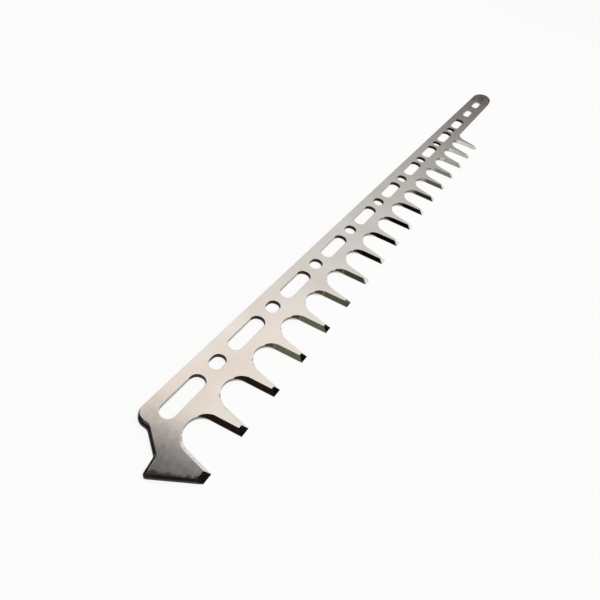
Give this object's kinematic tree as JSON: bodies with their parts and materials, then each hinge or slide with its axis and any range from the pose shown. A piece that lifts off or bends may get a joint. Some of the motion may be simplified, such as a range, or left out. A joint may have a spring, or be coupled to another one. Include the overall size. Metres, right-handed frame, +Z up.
{
  "type": "hedge trimmer blade",
  "caption": "Flat toothed steel blade with teeth bevelled along one edge, round-ended guide slots in the body, a forked near end and a plain rounded shank.",
  "frame": {"origin": "middle of the blade's bounding box, in its flat underside", "axes": "+X along the blade from the forked end towards the shank, teeth towards -Y, +Z up out of the face with the bevels"},
  "size_m": [0.7886, 0.0566, 0.0032],
  "materials": {
    "steel": "ground, with brushed bevels"
  },
  "bodies": {
    "root": {"blade": "steel"}
  },
  "joints": []
}
